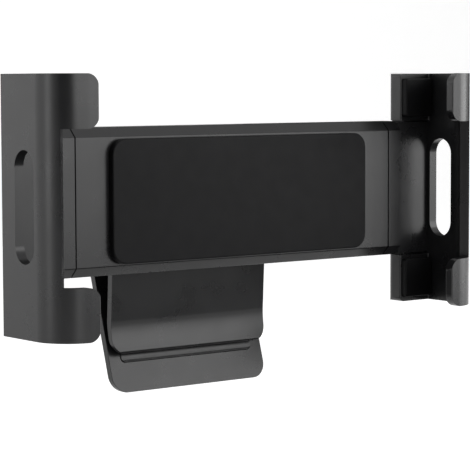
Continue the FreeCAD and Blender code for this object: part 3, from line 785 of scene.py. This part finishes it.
def seen_directly(tree):
    """1 where the camera, a reflection or a view through clear material meets the surface, 0 for light."""
    path = add_node(tree, "ShaderNodeLightPath")
    seen = path.outputs["Is Camera Ray"]
    for kind in ("Is Glossy Ray", "Is Transmission Ray"):
        either = add_node(tree, "ShaderNodeMath", {"operation": "MAXIMUM"})
        tree.links.new(seen, either.inputs[0])
        tree.links.new(path.outputs[kind], either.inputs[1])
        seen = either.outputs[0]
    return seen


def painted_board(name, colour, lift):
    """Matt white board for the floor and backdrop, lifted to white where the camera sees it unshadowed."""
    material, tree, output, place = new_material(name)
    amount = add_node(tree, "ShaderNodeMath", {"operation": "MULTIPLY"})
    tree.links.new(seen_directly(tree), amount.inputs[0])
    amount.inputs[1].default_value = lift
    finish_material(tree, output, {"Roughness": 0.8, "Emission Color": (1, 1, 1, 1)}, {
        "Base Color": patchy_colour(tree, place, 60 * MM, scaled(colour, 0.99), colour),
        "Normal": grain_bump(tree, place, 1.2 * MM, 0.03 * MM, 0.2),
        "Emission Strength": amount.outputs[0],
    })
    return material


def studio_world(light):
    """World that lights softly, and is white where it is seen."""
    world = bpy.data.worlds.new("studio")
    bpy.context.scene.world = world
    world.use_nodes = True
    tree = world.node_tree
    tree.nodes.clear()
    output = add_node(tree, "ShaderNodeOutputWorld")
    background = add_node(tree, "ShaderNodeBackground", {"Color": (1, 1, 1, 1)})
    amount = add_node(tree, "ShaderNodeMapRange", {"To Min": light, "To Max": 1.0})
    tree.links.new(seen_directly(tree), amount.inputs["Value"])
    tree.links.new(amount.outputs["Result"], background.inputs["Strength"])
    tree.links.new(background.outputs["Background"], output.inputs["Surface"])


def floor_sheet(name, height):
    """One sheet: flat floor, a rounded bend at the back and an upright backdrop."""
    across, near, far, top, curve = 4.0, -3.0, 1.2, 3.0, 0.6
    steps = 12
    profile = [(near, height), (far, height)]
    for step in range(1, steps + 1):
        turn = math.pi / 2 * step / steps
        profile.append((far + curve * math.sin(turn), height + curve * (1 - math.cos(turn))))
    profile.append((far + curve, top))
    verts = [(x, y, z) for y, z in profile for x in (-across, across)]
    faces = [(2 * i, 2 * i + 1, 2 * i + 3, 2 * i + 2) for i in range(len(profile) - 1)]
    mesh = bpy.data.meshes.new(name)
    mesh.from_pydata(verts, [], faces)
    for polygon in mesh.polygons:
        polygon.use_smooth = True
    mesh.materials.append(painted_board("board_white_matt", linear("#e2e2e2"), lift=0.64))
    placed(name, mesh)


# Settings that a user would change

class HolderLook(bpy.types.PropertyGroup):
    """Colours and edge sizes of the holder."""

    bar_colour: bpy.props.FloatVectorProperty(
        name="Bar and jaws", description="Colour of the bar's and jaws' plastic", size=3, subtype="COLOR",
        min=0, max=1, default=linear("#121213")[:3])
    clip_colour: bpy.props.FloatVectorProperty(
        name="Clip", description="Colour of the clip's plastic", size=3, subtype="COLOR",
        min=0, max=1, default=linear("#111112")[:3])
    pad_colour: bpy.props.FloatVectorProperty(
        name="Pads", description="Colour of the soft pads", size=3, subtype="COLOR",
        min=0, max=1, default=linear("#0a0a0b")[:3])
    gear_colour: bpy.props.FloatVectorProperty(
        name="Gear", description="Colour of the pinion", size=3, subtype="COLOR",
        min=0, max=1, default=linear("#dcdad4")[:3])
    screw_colour: bpy.props.FloatVectorProperty(
        name="Screws", description="Colour of the blackened screws", size=3, subtype="COLOR",
        min=0, max=1, default=linear("#5a5a5c")[:3])
    pin_colour: bpy.props.FloatVectorProperty(
        name="Pin", description="Colour of the bright steel pins", size=3, subtype="COLOR",
        min=0, max=1, default=linear("#c4c4c6")[:3])
    spring_colour: bpy.props.FloatVectorProperty(
        name="Springs", description="Colour of the spring wire", size=3, subtype="COLOR",
        min=0, max=1, default=linear("#b0b0b3")[:3])
    edge: bpy.props.FloatProperty(
        name="Moulded edge", description="Radius of the mouldings' outer edges", subtype="DISTANCE",
        unit="LENGTH", default=0.45 * MM, min=0.05 * MM, max=1.5 * MM, precision=5)
    small_edge: bpy.props.FloatProperty(
        name="Small edge", description="Radius of the edges of small and metal pieces", subtype="DISTANCE",
        unit="LENGTH", default=0.15 * MM, min=0.02 * MM, max=0.5 * MM, precision=5)
    pad_edge: bpy.props.FloatProperty(
        name="Pad edge", description="Radius of the soft pads' rims", subtype="DISTANCE",
        unit="LENGTH", default=0.5 * MM, min=0.05 * MM, max=1.0 * MM, precision=5)
    rib_pitch: bpy.props.FloatProperty(
        name="Rib pitch", description="Distance between the grips' ribs", subtype="DISTANCE",
        unit="LENGTH", default=2.0 * MM, min=1.0 * MM, max=5.0 * MM, precision=5)
    rib_depth: bpy.props.FloatProperty(
        name="Rib depth", description="Depth between the front grip's ribs", subtype="DISTANCE",
        unit="LENGTH", default=0.45 * MM, min=0.0, max=1.0 * MM, precision=5)
    return_wire: bpy.props.FloatProperty(
        name="Return wire", description="Thickness of the return springs' wire", subtype="DISTANCE",
        unit="LENGTH", default=0.5 * MM, min=0.2 * MM, max=1.0 * MM, precision=5)
    clip_wire: bpy.props.FloatProperty(
        name="Clip wire", description="Thickness of the clip spring's wire", subtype="DISTANCE",
        unit="LENGTH", default=1.2 * MM, min=0.5 * MM, max=1.6 * MM, precision=5)


class HolderStage(bpy.types.PropertyGroup):
    """Camera, floor and lights."""

    lens: bpy.props.FloatProperty(
        name="Lens", description="Focal length of the camera", unit="CAMERA", default=154.0, min=20, max=400)
    eye: bpy.props.FloatVectorProperty(
        name="Eye", description="Where the camera stands", size=3, subtype="TRANSLATION", unit="LENGTH",
        default=(-410.12 * MM, -549.64 * MM, 83.21 * MM))
    yaw: bpy.props.FloatProperty(
        name="Turn", description="How far the camera is turned to the right of +Y", subtype="ANGLE",
        unit="ROTATION", default=math.radians(38.232))
    pitch: bpy.props.FloatProperty(
        name="Pitch", description="How far the camera looks down", subtype="ANGLE", unit="ROTATION",
        default=math.radians(4.348))
    roll: bpy.props.FloatProperty(
        name="Roll", description="How far the camera is tipped about its line of sight", subtype="ANGLE",
        unit="ROTATION", default=math.radians(-0.206))
    floor_drop: bpy.props.FloatProperty(
        name="Floor", description="How far the floor lies under the holder's lowest point",
        subtype="DISTANCE", unit="LENGTH", default=45 * MM, min=0, max=1)
    world_light: bpy.props.FloatProperty(
        name="World light", description="Strength of the even light from all round",
        default=0.30, min=0, max=2)
    key_turn: bpy.props.FloatProperty(
        name="Key turn", description="Where the key panel stands, from straight in front towards +X",
        subtype="ANGLE", unit="ROTATION", default=math.radians(15))
    key_level: bpy.props.FloatProperty(
        name="Key", description="Brightness of the large panel in front", default=3.2, min=0, max=20)
    side_level: bpy.props.FloatProperty(
        name="Left side", description="Brightness of the wide panel at the left", default=0.85, min=0, max=20)
    right_level: bpy.props.FloatProperty(
        name="Right side", description="Brightness of the panel at the right", default=5.6, min=0, max=20)
    strip_level: bpy.props.FloatProperty(
        name="Strip", description="Brightness of the narrow panel at the left", default=3.4, min=0, max=20)


# Operators

class HOLDER_OT_stage(bpy.types.Operator):
    """Places the camera, the floor, the backdrop and the lights"""

    bl_idname = "holder.stage"
    bl_label = "Stage"

    def execute(self, context):
        scene = context.scene
        setting = scene.holder_stage
        camera = bpy.data.cameras.new("camera")
        camera.lens = setting.lens
        camera.clip_start = 0.02
        scene.camera = placed("camera", camera)
        aim = aim_rotation(setting.yaw, setting.pitch, setting.roll)
        scene.camera.matrix_world = Matrix.Translation(setting.eye) @ aim.to_4x4()
        floor_height = cad_bounds[0][2] - setting.floor_drop
        floor_sheet("floor", floor_height)
        soft_panel("key_panel", setting.key_turn, KEY_RISE, KEY_DISTANCE, *KEY_SIZE, setting.key_level)
        for name, turn, rise, distance, width, height, level in PANELS:
            soft_panel(name, math.radians(turn), math.radians(rise), distance, width, height,
                       getattr(setting, level))
        for name, turn, width in STANDING_CARDS:
            standing_card(name, math.radians(turn), width)
        lying_card("lying_card", floor_height + LYING_CARD_LIFT)
        studio_world(setting.world_light)
        scene.view_settings.view_transform = "Standard"
        return {"FINISHED"}


class HOLDER_OT_bar(bpy.types.Operator):
    """Makes the two halves of the bar"""

    bl_idname = "holder.bar"
    bl_label = "Bar"

    def execute(self, context):
        look = context.scene.holder_look
        moulding("front_housing", "bar_front_shell", look.edge)
        moulding("rear_housing", "bar_rear_shell", look.edge)
        return {"FINISHED"}


class HOLDER_OT_jaws(bpy.types.Operator):
    """Makes the two jaws"""

    bl_idname = "holder.jaws"
    bl_label = "Jaws"

    def execute(self, context):
        look = context.scene.holder_look
        for side in SIDES:
            jaw_moulding(side, look.edge)
        return {"FINISHED"}


class HOLDER_OT_sliders(bpy.types.Operator):
    """Makes the sliders with their racks and the pinion between them"""

    bl_idname = "holder.sliders"
    bl_label = "Sliders and pinion"

    def execute(self, context):
        look = context.scene.holder_look
        for side in SIDES:
            moulding(side + "_slider", side + "_slider_tongue", look.small_edge)
        moulding("pinion", "pinion_gear", look.small_edge)
        return {"FINISHED"}


class HOLDER_OT_pads(bpy.types.Operator):
    """Makes the soft pads of the bar and the jaws"""

    bl_idname = "holder.pads"
    bl_label = "Soft pads"

    def execute(self, context):
        look = context.scene.holder_look
        crowned_pad("front_pad", "front_pad_skin", look.pad_edge, corner=5.0 * MM, crown=0.12 * MM)
        for side in SIDES:
            for place in ("upper", "lower"):
                node = side + "_" + place + "_pad"
                crowned_pad(node, node + "_skin", look.pad_edge, corner=1.0 * MM, crown=0.1 * MM)
        return {"FINISHED"}


class HOLDER_OT_clip(bpy.types.Operator):
    """Makes the two plates of the clip"""

    bl_idname = "holder.clip"
    bl_label = "Clip plates"

    def execute(self, context):
        look = context.scene.holder_look
        bent_plate("clip_front_plate", "clip_front_moulding", look.edge)
        moulding("clip_rear_plate", "clip_rear_moulding", look.edge)
        return {"FINISHED"}


class HOLDER_OT_grips(bpy.types.Operator):
    """Makes the ribbed rubber grips inside the clip"""

    bl_idname = "holder.grips"
    bl_label = "Clip grips"

    def execute(self, context):
        look = context.scene.holder_look
        back, front = Vector((0, 1, 0)), Vector((0, -1, 0))
        pitch, depth = look.rib_pitch, look.rib_depth
        ribbed_grip("front_grip_pad", "front_grip_skin", back, pitch, depth, edge=0.2 * MM)
        ribbed_grip("rear_grip_pad", "rear_grip_skin", front, pitch, 0.5 * depth, edge=0.1 * MM)
        return {"FINISHED"}


class HOLDER_OT_head(bpy.types.Operator):
    """Makes the turning head, the disc that keeps it on the bar, and the tilt joint's nut and washers"""

    bl_idname = "holder.head"
    bl_label = "Turning head"

    def execute(self, context):
        look = context.scene.holder_look
        moulding("swivel_head", "swivel_head_moulding", look.edge)
        moulding("swivel_retainer", "swivel_retainer_disc", look.small_edge)
        moulding("tilt_nut", "tilt_nut_steel", look.edge)
        moulding("tilt_washers", "tilt_washer_pair", look.small_edge)
        return {"FINISHED"}


class HOLDER_OT_hinge(bpy.types.Operator):
    """Makes the clip's hinge pin, its rings and its spring"""

    bl_idname = "holder.hinge"
    bl_label = "Clip hinge"

    def execute(self, context):
        look = context.scene.holder_look
        moulding("clip_pin", "clip_pin_steel", look.edge)
        moulding("clip_pin_rings", "clip_pin_ring_pair", look.small_edge)
        clip_coil(look.clip_wire)
        return {"FINISHED"}


class HOLDER_OT_screws(bpy.types.Operator):
    """Makes every screw and bolt, with threads and driver recesses"""

    bl_idname = "holder.screws"
    bl_label = "Screws and bolt"

    def execute(self, context):
        back, front = Vector((0, 1, 0)), Vector((0, -1, 0))
        fasteners("housing_screws", "housing_screw", back)
        for side in SIDES:
            fasteners(side + "_slider_screws", side + "_slider_screw", back)
        fasteners("swivel_screws", "swivel_screw", front)
        fasteners("pinion_screw", "pinion_shoulder_screw", back)
        fasteners("tilt_bolt", "tilt_bolt_steel", Vector((-1, 0, 0)), hexagon_cutter, thread_share=0.35)
        return {"FINISHED"}


class HOLDER_OT_springs(bpy.types.Operator):
    """Makes the two springs that draw the jaws in"""

    bl_idname = "holder.springs"
    bl_label = "Return springs"

    def execute(self, context):
        for side in SIDES:
            return_coil(side, context.scene.holder_look.return_wire)
        return {"FINISHED"}


class HOLDER_PT_panel(bpy.types.Panel):
    """Lists the stage, the holder's pieces and the settings"""

    bl_idname = "HOLDER_PT_panel"
    bl_label = "Tablet Holder"
    bl_space_type = "VIEW_3D"
    bl_region_type = "UI"
    bl_category = "Tablet Holder"

    def draw(self, context):
        layout = self.layout
        for operator in OPERATORS:
            layout.operator(operator.bl_idname, text=operator.bl_label)
        for group in (context.scene.holder_look, context.scene.holder_stage):
            column = layout.column()
            for name in group.__annotations__:
                column.prop(group, name)


OPERATORS = (HOLDER_OT_stage, HOLDER_OT_bar, HOLDER_OT_jaws, HOLDER_OT_sliders, HOLDER_OT_pads,
             HOLDER_OT_clip, HOLDER_OT_grips, HOLDER_OT_head, HOLDER_OT_hinge, HOLDER_OT_screws,
             HOLDER_OT_springs)
CLASSES = (HolderLook, HolderStage, *OPERATORS, HOLDER_PT_panel)


def register():
    for kind in CLASSES:
        bpy.utils.register_class(kind)
    bpy.types.Scene.holder_look = bpy.props.PointerProperty(type=HolderLook)
    bpy.types.Scene.holder_stage = bpy.props.PointerProperty(type=HolderStage)


def unregister():
    del bpy.types.Scene.holder_stage
    del bpy.types.Scene.holder_look
    for kind in reversed(CLASSES):
        bpy.utils.unregister_class(kind)


def main():
    register()
    for make in (bpy.ops.holder.stage, bpy.ops.holder.bar, bpy.ops.holder.jaws, bpy.ops.holder.sliders,
                 bpy.ops.holder.pads, bpy.ops.holder.clip, bpy.ops.holder.grips, bpy.ops.holder.head,
                 bpy.ops.holder.hinge, bpy.ops.holder.screws, bpy.ops.holder.springs):
        make()


if __name__ == "__main__":
    main()
